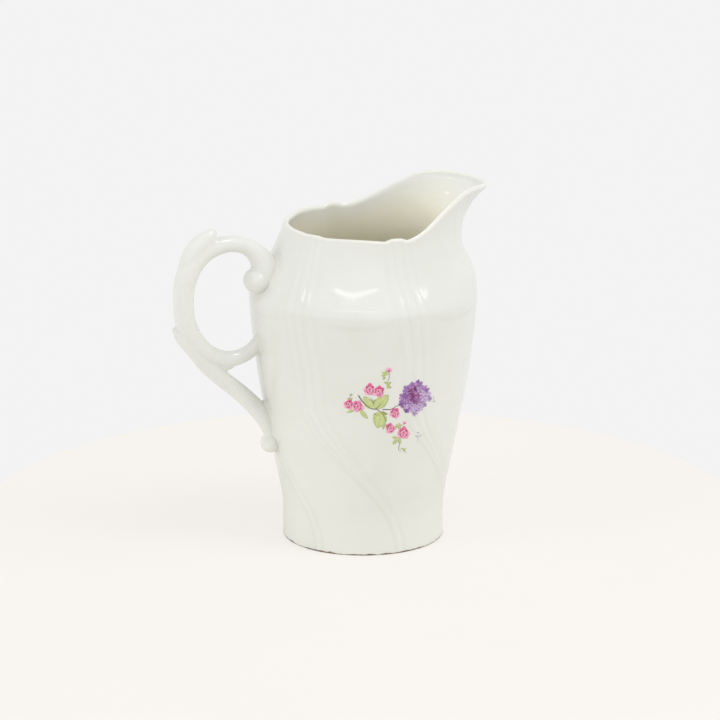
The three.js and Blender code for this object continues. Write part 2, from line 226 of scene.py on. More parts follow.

# How thick the glaze lies in grooves high and low on the wall, on crests, panels and swags,
# with painted shade added in the grooves and under the swags, and where it runs thin on the rim
# and takes a creamier tone inside, brightened there as painted light.
HIGH_POOL_AND_SHADE, LOW_POOL_AND_SHADE, CREST_POOL, PANEL_POOL, SWAG_SHADE = 0.46, 0.72, 0.24, 0.3, 0.6
GROOVE_FADE = 0.12
THIN_ROWS = 2 * EDGE_ROWS - 3
# Depth below the rim over which the painted light inside fades in.
INSIDE_FADE = 13 * MM

# Stations of the handle's bars in millimetres: out from the axis, up and half thickness. The
# lower part of the strut is measured from the wall behind the lower pearl, and the loop, the top
# of the strut, the web in the crotch and the spur from the shoulder ridge.
LOOP = (
    (-6.2, 6, 6), (-4.8, 13.8, 6.1), (-1.7, 20, 4.6), (2.6, 23.9, 3.8), (8.2, 25.8, 3.5),
    (14.2, 25.8, 3.7), (20.2, 24, 4.1), (25.4, 20.6, 4.6), (29.4, 14.6, 4.8), (31.3, 7, 4.6),
    (31.4, 0, 4.5), (30.6, -6.4, 4.5), (27.6, -13.4, 4.4), (21.7, -20.4, 4.2), (14.1, -23.5, 3.7),
    (7.6, -23.4, 3.3), (2.4, -21.2, 3.1), (-1.6, -17.4, 2.9), (-5.6, -14.2, 2.4),
)
STRUT_TOP = ((36.4, -8.2, 0.8), (32.6, -12.8, 2.7), (27.2, -18.4, 3.5))
STRUT_LOW = (
    (30.1, 37, 3.6), (23.6, 30.7, 3.6), (16, 24.1, 3.7), (9.4, 17.5, 3.8), (4.5, 11.3, 3.8),
    (1.9, 5.8, 3.4), (0.8, 1, 2.8),
)
CROTCH = ((18, -25.6, 2.4), (13.4, -26.4, 2.3), (10.2, -26.5, 1.7))
SPUR = (
    (30.4, 12, 3.2), (28.7, 19.9, 4.1), (24.2, 26, 4.3), (20.3, 29.4, 3.4), (18.4, 31.6, 2.2),
    (17.7, 32.8, 1.3),
)
PEARL_BREADTH = 1.3
PEARL_COLUMNS, PEARL_ROWS = 32, 20
PEARL_TOP_PLACE = (-0.8, 0, 9.3)
PEARL_LOW_PLACE = (1.8, 0, 0)
BREADTH = 1.02
BAR_SIDES, BAR_ROWS = 24, 6
CLAY_GRAIN, CLAY_STROKES = 0.38 * MM, 9
ROOT_DEPTH = 1.0 * MM

# Joints: name, node, the size that gives the height, the middle above it and the reach.
SLIP_JOINTS = (
    ("upper_slip", "upper_slip_joint", "shoulder_height", 11 * MM, 17 * MM),
    ("middle_slip", "middle_slip_joint", "shoulder_height", -17 * MM, 13 * MM),
    ("lower_slip", "lower_slip_joint", "pearl_low_height", 3 * MM, 17 * MM),
)
SLIP_GRID, SLIP_STROKES, SLIP_HALVINGS = 96, 2, 12
SLIP_TUCK, SLIP_SINK, SLIP_EDGE, SLIP_ROOT = 0.45 * MM, 0.3 * MM, 0.6 * MM, 0.8 * MM


class Wall:
    """The jug's wall, from the sizes that the panel shows."""

    def __init__(self, context):
        self.size = context.scene.milk_jug_sizes
        self.rim_height = self.size.shoulder_height + self.size.neck_height
        self.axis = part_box("jug_body")[0][0] + self.size.shoulder_radius
        self.outline = self.rounded(self.flare(0, FLARE_ROWS) + self.neck(0, 0, NECK_ROWS)[1:])
        self.levels = [place.z for place in self.outline]

    def curve(self, places, rows):
        knots = [Vector((radius, 0, height)) for radius, height in places]
        return list(interpolate_bezier(*knots, rows))

    def rounded(self, outline):
        """Softens the turns at the foot band and at the shoulder ridge."""
        band = [Vector((self.size.foot_radius, 0, self.size.foot_height * t)) for t in BAND_STEPS]
        places = band + outline
        for turn in range(FOOT_PASSES):
            threes = zip(places, places[1:], places[2:])
            middle = [a * 0.25 + b * 0.5 + c * 0.25 for a, b, c in threes]
            soft = len(places) if turn < RIDGE_PASSES else len(band) + FLARE_ROWS // 2
            places = [places[0], *middle[:soft], *places[soft + 1:-1], places[-1]]
        return places

    def flare(self, inset, rows):
        """The wall from the foot band to the shoulder ridge."""
        size = self.size
        foot, top = size.foot_radius - inset, size.shoulder_radius - inset
        rise = (size.shoulder_height - size.foot_height) / 3
        return self.curve((
            (foot, size.foot_height),
            (lerp(foot, top, FLARE_LOW), size.foot_height + rise),
            (lerp(foot, top, FLARE_HIGH), size.shoulder_height - rise),
            (top, size.shoulder_height),
        ), rows)

    def neck(self, inset, rim_inset, rows):
        """The neck from the shoulder ridge to the rim."""
        size = self.size
        shoulder, rim = size.shoulder_radius - inset, size.neck_radius - rim_inset
        ridge, rise = size.shoulder_height, size.neck_height
        return self.curve((
            (shoulder, ridge),
            (shoulder, ridge + rise * SHOULDER_ROUND),
            (lerp(shoulder, rim, NECK_DRAW), ridge + rise * NECK_DRAW_AT),
            (rim, self.rim_height - size.rim_edge),
        ), rows)

    def plain_radius(self, height):
        """Outer radius of the plain turned jug at a height."""
        if height <= self.outline[0].z:
            return self.size.foot_radius
        if height >= self.outline[-1].z:
            return self.outline[-1].x
        step = bisect.bisect_left(self.levels, height)
        low, high = self.outline[step - 1], self.outline[step]
        return lerp(low.x, high.x, (height - low.z) / (high.z - low.z))

    def twist(self, height):
        return 1 - smoothstep(height, 0, self.size.swirl_top)

    def turned(self, height):
        """How far the reeds have turned at a height."""
        size = self.size
        above = 1 - smoothstep(height, size.swirl_top, self.rim_height)
        return size.reed_start + size.swirl * self.twist(height) + size.neck_swirl * above

    def bundle_half(self, height):
        size = self.size
        return lerp(size.bundle_foot, size.bundle_top, (1 - self.twist(height)) ** BUNDLE_TAPER)

    def up(self, height):
        return min(1, max(0, (height - self.size.shoulder_height) / self.size.neck_height))

    def lip_reach(self, azimuth):
        """How far the lip stands out from the leaning neck."""
        size = self.size
        blunt = (abs(azimuth) ** 3 + size.spout_tip ** 3) ** (1 / 3)

        def side(turn):
            return 1 / math.cos(size.spout_leaves - min(turn, size.spout_leaves)) - 1
        full = size.spout_reach - size.neck_radius - size.neck_lean
        return full * side(blunt) / side(size.spout_tip)

    def lip_rise(self, azimuth):
        size = self.size
        climb = 1 - smoothstep(abs(azimuth), size.spout_crest, size.spout_ends)
        dip = 1 - smoothstep(abs(azimuth), 0, size.spout_crest)
        return size.spout_rise * climb - size.spout_dip * dip

    def crest(self, out, height):
        """Three reeds at the rim, which run together into one rib at the foot."""
        reeds = abs(math.cos(REEDS * math.pi * out / 2))
        rib = math.cos(math.pi * out / 2)
        return lerp(reeds, rib, smoothstep(self.twist(height), 0, RIB_SHARE))

    def pooled(self, in_bundle, out, height):
        """How thick the glaze lies, most of all in the lower grooves; also painted shade in grooves
        and swags.
        """
        groove = lerp(HIGH_POOL_AND_SHADE, LOW_POOL_AND_SHADE, self.twist(height))
        if in_bundle:
            return lerp(groove, CREST_POOL, self.crest(out, height))
        below, _ = self.panel_ends(out, height)
        # Painted shade under the sagging top edge of each panel, below the shoulder ridge.
        swag = 4 * below * (1 - below) * min(1, 2 * out)
        beside = lerp(groove, PANEL_POOL, smoothstep(out, 0, GROOVE_FADE))
        return max(beside, lerp(PANEL_POOL, SWAG_SHADE, swag))

    def panel_ends(self, out, height):
        """Whether a height lies in a panel below the shoulder ridge, and in one above it."""
        size = self.size
        edge = size.shoulder_height - size.swag * (2 - out) * out
        ridge = size.shoulder_height + size.panel_edge
        below = 1 - smoothstep(height, edge - size.panel_edge, edge)
        return below, smoothstep(height, ridge, ridge + size.panel_edge)

    def relief(self, in_bundle, out, height):
        """How far the reeds stand out, or a panel sinks, at a share of its half width."""
        size = self.size
        strength = lerp(1, size.foot_relief, self.twist(height))
        strength *= lerp(1, size.neck_relief, self.up(height))
        if in_bundle:
            return size.reed_proud * self.crest(out, height) * strength
        below, above = self.panel_ends(out, height)
        return -size.panel_sunk * (below + above) * min(1, 2 * out) * strength

    def wave(self, in_bundle, out):
        """The rim's gentle scallops."""
        if in_bundle:
            return lerp(RIM_BUMP, RIM_DIP, smoothstep(out, BUMP_FLAT, 1))
        return lerp(RIM_DIP, RIM_ARCH, math.sin(math.pi * out / 2))

    def place(self, column, radius, height, relief):
        """Where a spot of the plain turned jug goes, and how thick the glaze lies there."""
        even = SECTOR / 2 * BUNDLE_COLUMNS / (BUNDLE_COLUMNS + PANEL_COLUMNS)
        across = column % SECTOR - SECTOR / 2
        in_bundle = abs(across) < even + TINY
        half = self.bundle_half(height)
        if in_bundle:
            out = abs(across) / even
            placed = out * half
        else:
            out = (abs(across) - even) / (SECTOR / 2 - even)
            placed = lerp(half, SECTOR / 2, out)
        azimuth = column - across + math.copysign(placed, across) + self.turned(height)
        proud = self.relief(in_bundle, out, height)
        spot = self.bend(azimuth, radius + proud * relief, height, self.wave(in_bundle, out))
        return spot, self.pooled(in_bundle, out, height)

    def bend(self, azimuth, radius, height, wave):
        """Draws the neck out into the lip, with the rim's rounding kept as it is."""
        up = self.up(height)
        turn = (azimuth + math.pi) % (2 * math.pi) - math.pi
        lip = self.size.neck_lean * math.cos(turn) + self.lip_reach(turn)
        below_rim = 1 - self.size.rim_edge / self.size.neck_height
        radius += lip * min(1, up / below_rim) ** self.size.lip_turn
        full = math.sin(math.pi * min(1, up / THROAT_SHARE)) * max(0, math.cos(turn))
        radius += self.size.throat * full ** 2
        aside = math.sin(turn)
        height += up * (self.lip_rise(turn) + wave * aside ** 2 + self.size.rim_tilt * aside)
        return Vector((self.axis + radius * math.cos(turn), radius * math.sin(turn), height))

    def skin(self, azimuth, height, lift):
        """A place on the outside of the wall, lifted off it."""
        half = self.bundle_half(height)
        across = (azimuth - self.turned(height)) % SECTOR - SECTOR / 2
        in_bundle = abs(across) < half
        out = abs(across) / half if in_bundle else (abs(across) - half) / (SECTOR / 2 - half)
        radius = self.plain_radius(height) + self.relief(in_bundle, out, height) + lift
        return self.bend(azimuth, radius, height, self.wave(in_bundle, out))


def piece_from(bm, name, material, nodes):
    """Makes the finished object, which stands for its nodes of the model."""
    for face in bm.faces:
        face.smooth = True
    mesh = bpy.data.meshes.new(name)
    bm.to_mesh(mesh)
    bm.free()
    mesh.materials.append(material)
    piece = bpy.data.objects.new(name, mesh)
    bpy.context.scene.collection.objects.link(piece)
    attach(piece, "root")
    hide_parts(*nodes)


class Nodes:
    """Short calls for building a material."""

    def __init__(self, name):
        self.material = bpy.data.materials.new(name)
        self.material.use_nodes = True
        self.tree = self.material.node_tree
        self.shader = self.tree.nodes["Principled BSDF"]
        self.output = self.tree.nodes["Material Output"]

    def add(self, kind, inputs=None, **settings):
        node = self.tree.nodes.new(kind)
        for key, value in settings.items():
            setattr(node, key, value)
        for key, value in (inputs or {}).items():
            self.put(node.inputs[key], value)
        return node

    def put(self, socket, value):
        if isinstance(value, bpy.types.NodeSocket):
            self.tree.links.new(value, socket)
        else:
            socket.default_value = value

    def object_place(self):
        return self.add("ShaderNodeTexCoord").outputs["Object"]

    def attribute(self, name, output):
        return self.add("ShaderNodeAttribute", attribute_name=name).outputs[output]

    def noise(self, place, scale, detail=3.0, roughness=0.5):
        inputs = {"Vector": place, "Scale": scale, "Detail": detail, "Roughness": roughness}
        return self.add("ShaderNodeTexNoise", inputs).outputs["Fac"]

    def span(self, value, low, high, to_low=0.0, to_high=1.0):
        inputs = {
            "Value": value, "From Min": low, "From Max": high, "To Min": to_low, "To Max": to_high
        }
        return self.add("ShaderNodeMapRange", inputs).outputs["Result"]

    def math(self, operation, first, second):
        node = self.add("ShaderNodeMath", operation=operation)
        self.put(node.inputs[0], first)
        self.put(node.inputs[1], second)
        return node.outputs[0]

    def mix(self, factor, first, second, blend_type="MIX"):
        node = self.add("ShaderNodeMix", data_type="RGBA", blend_type=blend_type)
        self.put(node.inputs["Factor"], factor)
        self.put(node.inputs["A"], first)
        self.put(node.inputs["B"], second)
        return node.outputs["Result"]

    def bump(self, height, strength, distance):
        inputs = {"Height": height, "Strength": strength, "Distance": distance}
        self.put(self.shader.inputs["Normal"], self.add("ShaderNodeBump", inputs).outputs["Normal"])


GLAZE_IOR = 1.5
IRON_SPECK = (150, 132, 110)


def glaze_surface(made, place, colour):
    """The gloss, the faint unevenness and the few iron specks of a fired clear glaze."""
    specks = made.add("ShaderNodeTexVoronoi", {"Vector": place, "Scale": 160.0}, feature="F1")
    speck = made.span(specks.outputs["Distance"], 0.03, 0.06, to_low=1.0, to_high=0.0)
    sparse = made.span(made.noise(place, scale=90.0, detail=1.0), 0.72, 0.74)
    colour = made.mix(made.math("MULTIPLY", speck, sparse), colour, srgb(*IRON_SPECK))
    made.put(made.shader.inputs["Base Color"], colour)
    rough = made.span(made.noise(place, scale=60.0), 0.3, 0.7, to_low=0.05, to_high=0.1)
    made.put(made.shader.inputs["Roughness"], rough)
    uneven = made.noise(place, scale=140.0, detail=2.0)
    made.bump(uneven, strength=0.03, distance=0.0004)
    made.shader.inputs["IOR"].default_value = GLAZE_IOR


def clouded(made, clouds, most, thin, thick):
    """Thin glaze that drifts in clouds towards thick glaze."""
    return made.mix(made.span(clouds, 0.35, 0.65, to_high=most), thin, thick)


def glazed_porcelain(colours):
    """Warm white glaze: thicker in the grooves, with painted shade there and under the swags, thin
    on the rim, brightened inside as painted light, and none on the foot's edge, which also carries
    painted contact shadow.
    """
    made = Nodes("glazed_porcelain")
    names = ("glaze", "pooled", "inside", "rim", "bare_foot_and_shadow")
    glaze, pooled, inside, rim, bare_foot_and_shadow = paints(colours, *names)
    place = made.object_place()
    clouds = made.noise(place, scale=22.0, detail=4.0, roughness=0.6)
    colour = clouded(made, clouds, 0.22, glaze, pooled)
    uneven = made.span(clouds, 0.2, 0.8, to_low=0.45, to_high=0.75)
    # Thick glaze in the grooves, darkened further as painted shade, and painted shade under the
    # swags.
    pool = made.math("MULTIPLY", made.attribute("pool", "Fac"), uneven)
    colour = made.mix(pool, colour, pooled)
    # Painted light: the inside is brightened, over a creamier glaze.
    colour = made.mix(made.attribute("inside", "Fac"), colour, inside)
    patchy = made.span(clouds, 0.3, 0.7, to_low=0.3, to_high=0.9)
    thin = made.math("MULTIPLY", made.attribute("rim", "Fac"), patchy)
    colour = made.mix(thin, colour, rim)
    height = made.add("ShaderNodeSeparateXYZ", {"Vector": place}).outputs["Z"]
    ragged = made.noise(place, scale=260.0, detail=4.0)
    glaze_edge = made.span(ragged, 0.3, 0.7, to_low=0.3 * MM, to_high=1.1 * MM)
    # The bare foot edge below the ragged glaze line, dark as stained paste and as painted contact
    # shadow.
    bare_and_shadow = made.span(made.math("SUBTRACT", glaze_edge, height), -0.2 * MM, 0.3 * MM)
    bare_and_shadow = made.math("MULTIPLY", bare_and_shadow, made.attribute("ring", "Fac"))
    glaze_surface(made, place, made.mix(bare_and_shadow, colour, bare_foot_and_shadow))
    return made.material


def handle_glaze(colours):
    """The same glaze over the handle."""
    made = Nodes("handle_glaze")
    place = made.object_place()
    clouds = made.noise(place, scale=30.0, detail=4.0, roughness=0.6)
    glaze_surface(made, place, clouded(made, clouds, 0.25, *paints(colours, "glaze", "pooled")))
    return made.material


def slip_glaze(colours):
    """Glazed joining slip, a little uneven where it was wiped round with a wet brush."""
    made = Nodes("fired_slip")
    place = made.object_place()
    brushed = made.noise(place, scale=180.0)
    glaze_surface(made, place, clouded(made, brushed, 0.4, *paints(colours, "slip", "pooled")))
    return made.material


def enamel(name):
    """Fired enamel in the painted colours, mottled as it lies on the glaze."""
    made = Nodes(name)
    place = made.object_place()
    mottle = made.span(made.noise(place, scale=1500.0), 0.3, 0.7, to_low=0.86, to_high=1.08)
    shade = made.add("ShaderNodeCombineColor", {"Red": mottle, "Green": mottle, "Blue": mottle})
    paint = made.attribute("paint", "Color")
    colour = made.mix(1.0, paint, shade.outputs["Color"], "MULTIPLY")
    made.put(made.shader.inputs["Base Color"], colour)
    rough = made.span(made.noise(place, scale=900.0), 0.3, 0.7, to_low=0.16, to_high=0.3)
    made.put(made.shader.inputs["Roughness"], rough)
    made.shader.inputs["IOR"].default_value = GLAZE_IOR
    return made.material


class MILKJUG_OT_body(bpy.types.Operator):
    """Turn the jug body, gather its wall into swirled reeds and draw out the lip"""

    bl_idname = "milk_jug.body"
    bl_label = "Jug Body"

    def execute(self, context):
        wall = Wall(context)
        size = wall.size
        bare_from = size.foot_radius - size.foot_ring - size.foot_recess
        bm = bmesh.new()
        layers = bm.verts.layers.float
        relief, pool, rim_tone, lit_inside, bare_and_shadow = [
            layers.new(name) for name in ("relief", "pool", "rim", "inside", "ring")
        ]
        line = []
        for row, points in enumerate(self.profile(wall)):
            for step, (radius, height) in enumerate(points):
                vert = bm.verts.new((radius, 0, height))
                vert[relief] = (0, 1, max(0, 1 - 2 * step / len(points)), 0)[row]
                vert[rim_tone] = 1 if row == 2 and step < THIN_ROWS else 0
                below = wall.rim_height - height
                # Painted light inside, fading in below the rim.
                vert[lit_inside] = smoothstep(below, 0, INSIDE_FADE) if row == 3 else 0
                # The foot ring's edge, which carries the bare paste and the painted contact shadow.
                vert[bare_and_shadow] = 1 if row < 2 and radius > bare_from else 0
                line.append(vert)
        edges = [bm.edges.new(pair) for pair in zip(line, line[1:])]
        columns = BUNDLES * (BUNDLE_COLUMNS + PANEL_COLUMNS)
        bmesh.ops.spin(
            bm, geom=line + edges, cent=(0, 0, 0), axis=(0, 0, 1), angle=2 * math.pi, steps=columns,
            use_merge=True,
        )
        bmesh.ops.remove_doubles(bm, verts=bm.verts[:], dist=TINY)
        for vert in bm.verts:
            radius = math.hypot(vert.co.x, vert.co.y)
            if radius < TINY:
                vert.co.x += wall.axis
                continue
            column = math.atan2(vert.co.y, vert.co.x)
            vert.co, depth = wall.place(column, radius, vert.co.z, vert[relief])
            # Thick glaze and painted shade in the grooves and under the swags.
            vert[pool] = depth * vert[relief]
        bmesh.ops.recalc_face_normals(bm, faces=bm.faces[:])
        layers.remove(bm.verts.layers.float["relief"])
        material = glazed_porcelain(context.scene.milk_jug_colours)
        piece_from(bm, "porcelain_body", material, ["jug_body"])
        return {"FINISHED"}

    def profile(self, wall):
        """Radius and height along the underside, the outside, the rim and the inside."""
        size = wall.size
        ring, recess, edge = size.foot_radius - size.foot_ring, size.foot_recess, size.foot_edge
        turn = RECESS_TURN * recess
        under = [(0, recess), (ring * RECESS_RING, recess), (ring - recess, recess)]
        under += [(ring - turn, turn), (ring, 0), (ring + size.foot_ring / 2, 0)]
        outside = self.corner(size.foot_radius - edge, edge, edge, edge, -90, 0)
        outside += [(p.x, p.z) for p in wall.outline]
        half, top = size.lip / 2, wall.rim_height
        crown, slope_end = size.neck_radius - half, top - size.rim_drop
        rim = self.corner(crown, top - size.rim_edge, half, size.rim_edge, 0, 90)[1:]
        rim += self.corner(crown, slope_end, size.rim_slope, size.rim_drop, 90, 180)[1:]
        neck = wall.neck(size.wall, half + size.rim_slope, INSIDE_ROWS)
        flare = wall.flare(size.wall, INSIDE_ROWS)
        inside = [(p.x, p.z) for p in reversed(neck) if p.z < slope_end]
        inside += [(p.x, p.z) for p in reversed(flare)][1:]
        bowl, floor = size.wall, size.floor
        inside += self.corner(size.foot_radius - 2 * bowl, floor + bowl, bowl, bowl, 0, -90)
        inside += [(size.foot_radius * FLOOR_RING, floor), (0, floor)]
        return under, outside, rim, inside

    def corner(self, radius, height, wide, high, start, end):
        """A rounded corner of the profile between two directions in degrees."""
        steps = EDGE_ROWS if abs(end - start) <= 90 else 2 * EDGE_ROWS
        turns = [math.radians(lerp(start, end, i / steps)) for i in range(steps + 1)]
        return [(radius + wide * math.cos(t), height + high * math.sin(t)) for t in turns]


def spline(stations, rows):
    """Smooth places through stations, with the same number of rows between each two."""
    knots = [Vector(station) for station in stations]
    ends = [2 * knots[0] - knots[1], *knots, 2 * knots[-1] - knots[-2]]
    places = []
    for before, start, end, after in zip(ends, ends[1:], ends[2:], ends[3:]):
        reach = (end - start).length
        first = start + (end - before).normalized() * reach / 3
        second = end - (after - start).normalized() * reach / 3
        places += list(interpolate_bezier(start, first, second, end, rows + 1))[:-1]
    return places + [knots[-1]]


def sweep(bm, frames, sides):
    """A closed bar through a row of section frames."""
    made = bmesh.ops.create_circle(bm, cap_ends=True, radius=1, segments=sides, matrix=frames[0])
    face = made["verts"][0].link_faces[0]
    for before, after in zip(frames, frames[1:]):
        grown = bmesh.ops.extrude_face_region(bm, geom=[face])
        face = next(item for item in grown["geom"] if isinstance(item, bmesh.types.BMFace))
        bmesh.ops.transform(bm, matrix=after @ before.inverted(), verts=face.verts[:])


def handle_shape(wall):
    """Stations of the handle's bars, with the half thickness as Y, and its pearls."""
    size = wall.size
    ridge = Vector((size.shoulder_radius, 0, size.shoulder_height))
    seat = Vector((wall.plain_radius(size.pearl_low_height), 0, size.pearl_low_height))

    def stations(places, base):
        return [base + Vector((out, half, up)) * MM for out, up, half in places]
    strut = stations(STRUT_TOP, ridge) + stations(STRUT_LOW, seat)
    bars = [stations(LOOP, ridge), strut, stations(CROTCH, ridge), stations(SPUR, ridge)]
    pearls = [(ridge + Vector(PEARL_TOP_PLACE) * MM, size.pearl_top)]
    pearls.append((seat + Vector(PEARL_LOW_PLACE) * MM, size.pearl_low))
    return bars, pearls


class MILKJUG_OT_handle(bpy.types.Operator):
    """Press the handle's loop, strut, spur and pearls into one piece"""

    bl_idname = "milk_jug.handle"
    bl_label = "Scroll Handle"

    def execute(self, context):
        wall = Wall(context)
        bars, pearls = handle_shape(wall)
        bm = bmesh.new()
        for stations in bars:
            self.bar(bm, wall, stations)
        broad = Matrix.Diagonal((1, PEARL_BREADTH, 1, 1))
        for place, radius in pearls:
            middle = Matrix.Translation((wall.axis - place.x, 0, place.z)) @ broad
            bmesh.ops.create_uvsphere(
                bm, u_segments=PEARL_COLUMNS, v_segments=PEARL_ROWS, radius=radius, matrix=middle
            )
        bmesh.ops.recalc_face_normals(bm, faces=bm.faces[:])
        self.merge_clay(context, bm)
        smoothed(bm, CLAY_STROKES)
        for vert in bm.verts:
            self.seat_on(wall, vert)
        material = handle_glaze(context.scene.milk_jug_colours)
        piece_from(bm, "scrolled_handle", material, ["scroll_handle"])
        return {"FINISHED"}

    def bar(self, bm, wall, stations):
        """A bar in the upright plane of the handle; the spline carries the half thickness as Y."""
        places = spline(stations, BAR_ROWS)
        frames = []
        for i, place in enumerate(places):
            heading = places[min(i + 1, len(places) - 1)] - places[max(i - 1, 0)]
            heading = Vector((-heading.x, 0, heading.z)).normalized()
            side = Vector((-heading.z, 0, heading.x))
            half = place.y
            across = Vector((0, half * BREADTH, 0))
            turn = Matrix((side * half, across, heading * half)).transposed()
            frames.append(Matrix.Translation((wall.axis - place.x, 0, place.z)) @ turn.to_4x4())
        sweep(bm, frames, BAR_SIDES)

    def merge_clay(self, context, bm):
        """Joins the bars and pearls into one even skin."""
        mesh = bpy.data.meshes.new("handle_clay")
        bm.to_mesh(mesh)
        clay = bpy.data.objects.new("handle_clay", mesh)
        context.scene.collection.objects.link(clay)
        remesh = clay.modifiers.new("clay", "REMESH")
        remesh.mode = "VOXEL"
        remesh.voxel_size = CLAY_GRAIN
        context.view_layer.update()
        graph = context.evaluated_depsgraph_get()
        merged = bpy.data.meshes.new_from_object(clay.evaluated_get(graph))
        bm.clear()
        bm.from_mesh(merged)
        bpy.data.objects.remove(clay)
        bpy.data.meshes.remove(mesh)
        bpy.data.meshes.remove(merged)
        if not bm.faces:
            raise RuntimeError("The handle's bars were not joined")

    def seat_on(self, wall, vert):
        """Keeps the handle's roots inside the thickness of the wall."""
        x, y = vert.co.x - wall.axis, vert.co.y
        radius = math.hypot(x, y)
        if radius > wall.size.shoulder_radius + ROOT_DEPTH or vert.co.z > wall.rim_height:
            return
        azimuth = math.atan2(y, x)
        skin = wall.skin(azimuth, vert.co.z, -ROOT_DEPTH)
        depth = math.hypot(skin.x - wall.axis, skin.y)
        if radius < depth:
            vert.co.x = wall.axis + depth * math.cos(azimuth)
            vert.co.y = depth * math.sin(azimuth)


class MILKJUG_OT_slip(bpy.types.Operator):
    """Wipe a fillet of joining slip round each root of the handle"""

    bl_idname = "milk_jug.slip"
    bl_label = "Slip Joints"

    def execute(self, context):
        wall = Wall(context)
        size = wall.size
        bars, pearls = handle_shape(wall)
        bar_places = [place for stations in bars for place in spline(stations, BAR_ROWS)]
        near = size.shoulder_radius + size.fillet
        balls = [
            (Vector((wall.axis - place.x, 0, place.z)), radius - SLIP_TUCK)
            for place, radius in [(place, place.y) for place in bar_places] + pearls
            if place.x - radius < near
        ]
        material = slip_glaze(context.scene.milk_jug_colours)
        for name, node, base, above, reach in SLIP_JOINTS:
            height = getattr(size, base) + above
            self.joint(wall, balls, material, name, node, height, reach)
        return {"FINISHED"}

    def joint(self, wall, balls, material, name, node, height, reach):
        """A skin of slip on the wall that rises to the handle in a hollow curve."""
        fillet = wall.size.fillet
        balls = [ball for ball in balls if abs(ball[0].z - height) < reach + ball[1]]
        bm = bmesh.new()
        made = bmesh.ops.create_grid(bm, x_segments=SLIP_GRID, y_segments=SLIP_GRID, size=reach)
        far = []
        for vert in made["verts"]:
            level = height + vert.co.y
            azimuth = math.pi + vert.co.x / wall.plain_radius(level)
            spot, out = wall.skin(azimuth, level, 0), wall.skin(azimuth, level, fillet)
            rise, distance = self.rise(balls, spot, (out - spot).normalized(), fillet)
            vert.co = wall.skin(azimuth, level, rise)
            if distance > fillet + SLIP_EDGE:
                far.append(vert)
        bmesh.ops.delete(bm, geom=far, context="VERTS")
        smoothed(bm, SLIP_STROKES)
        for vert in thickened(bm):
            offset = Vector((vert.co.x - wall.axis, vert.co.y, 0))
            skin = wall.skin(math.atan2(offset.y, offset.x), vert.co.z, -SLIP_ROOT)
            vert.co.x, vert.co.y = skin.x, skin.y
        bmesh.ops.recalc_face_normals(bm, faces=bm.faces[:])
        piece_from(bm, name, material, [node])

    def rise(self, balls, spot, out, fillet):
        """Height of the slip over a spot of the wall, and the spot's distance from the handle."""
        def clearance(height):
            place = spot + out * height
            return min((place - middle).length - radius for middle, radius in balls)

        def empty(height):
            """How far a height lies outside the hollow curve between wall and handle."""
            gap = clearance(height)
            overlap = max(0, fillet - abs(height - gap))
            return min(height, gap) - overlap * overlap / (4 * fillet)

        distance = clearance(0)
        if distance > fillet:
            return -SLIP_SINK * (distance - fillet) / SLIP_EDGE, distance
        if empty(fillet) < 0:
            return fillet - SLIP_SINK, distance
        low, high = 0.0, fillet
        for _ in range(SLIP_HALVINGS):
            middle = (low + high) / 2
            low, high = (middle, high) if empty(middle) < 0 else (low, middle)
        return high, distance


# The spray is drawn as it is seen from the front of the jug: to the right and up from its
# middle, in millimetres.
VIEW_AZIMUTH = math.radians(-110)
VIEW_ELEVATION = math.radians(14.8)
ENAMEL_LIFT = 0.05 * MM
ENAMEL_SUNK = 0.05 * MM
SAME_SPOT = 1e-5
LAY_STEPS = 6
PETAL_GRID, LEAF_GRID, LINE_ROWS = (2, 4), (8, 14), 5
STROKE_WIDTH = 0.36
OUTER_PETALS, CUP_PETALS, CUP_STROKES = 8, 5, 4
ROSE_STEP, CUP_STEP, STROKE_STEP = 0.6, 1, 1.8
SPRIG_BOW, SPRIG_STEP = 0.1, 0.2

# Leaves from root to tip with their width and bow, and where they need it layer and darkness.
LEAVES = (
    ((-3.9, -0.9), (-7.4, 4.0), 3.6, -0.2),
    ((-3.2, -0.6), (2.9, 4.6), 4.6, 0.3, 0.3),
    ((-0.5, -2.4), (-1.6, -9.3), 5.9, -0.3),
    ((-0.6, -2.6), (2.6, -3.4), 1.3, 0.1, 0.4, 0.75),
    ((-8.8, -1.8), (-5.7, -5.3), 1.9, 0.2, 0.0, 0.1),
    ((-11.4, -1.8), (-14.6, -2.8), 1.2, 0.1, 0.0, 0.1),
    ((1.6, -7.0), (0.6, -10.0), 1.2, 0.1, 0.0, 0.25),
)
MAIN_STEM = (
    (-9.7, 4.5), (-8.1, 2.0), (-5.6, -0.3), (-4.0, -1.2), (-2.1, -1.4), (-0.5, -2.5), (0.8, -4.1),
    (1.9, -6.6),
)
# Stems with their width, the share of olive in their grey brown, and their layer.
STEMS = (
    (MAIN_STEM, 0.42, 0, 1.0),
    (((-2.4, -1.1), (0.2, 1.0), (2.1, 3.6)), 0.3, 0.4, 1.2),
    (((0.4, -1.5), (2.4, -1.5), (4.0, -1.4), (6.2, -0.1), (7.6, 0.3)), 0.34, 0, 1.0),
    (((-3.3, -3.1), (-1.8, -3.8), (-0.8, -2.8)), 0.3, 1, 1.0),
    (((-3.2, 0.7), (-3.9, 2.5), (-4.6, 3.4)), 0.3, 1, 1.2),
    (((-3.5, 1.6), (-2.6, 2.9)), 0.26, 1, 1.2),
    (((-13.2, 1.6), (-13.2, 3.9), (-12.4, 5.2)), 0.3, 1, 0.4),
    (((7.0, -9.6), (8.2, -8.4), (9.4, -7.6)), 0.26, 1, 0.4),
    (((7.8, -13.2), (7.5, -16.8), (7.3, -18.4), (8.3, -19.3)), 0.28, 1, 0.4),
    (((9.0, -18.2), (9.9, -19.0), (10.6, -20.0)), 0.24, 1, 0.4),
)
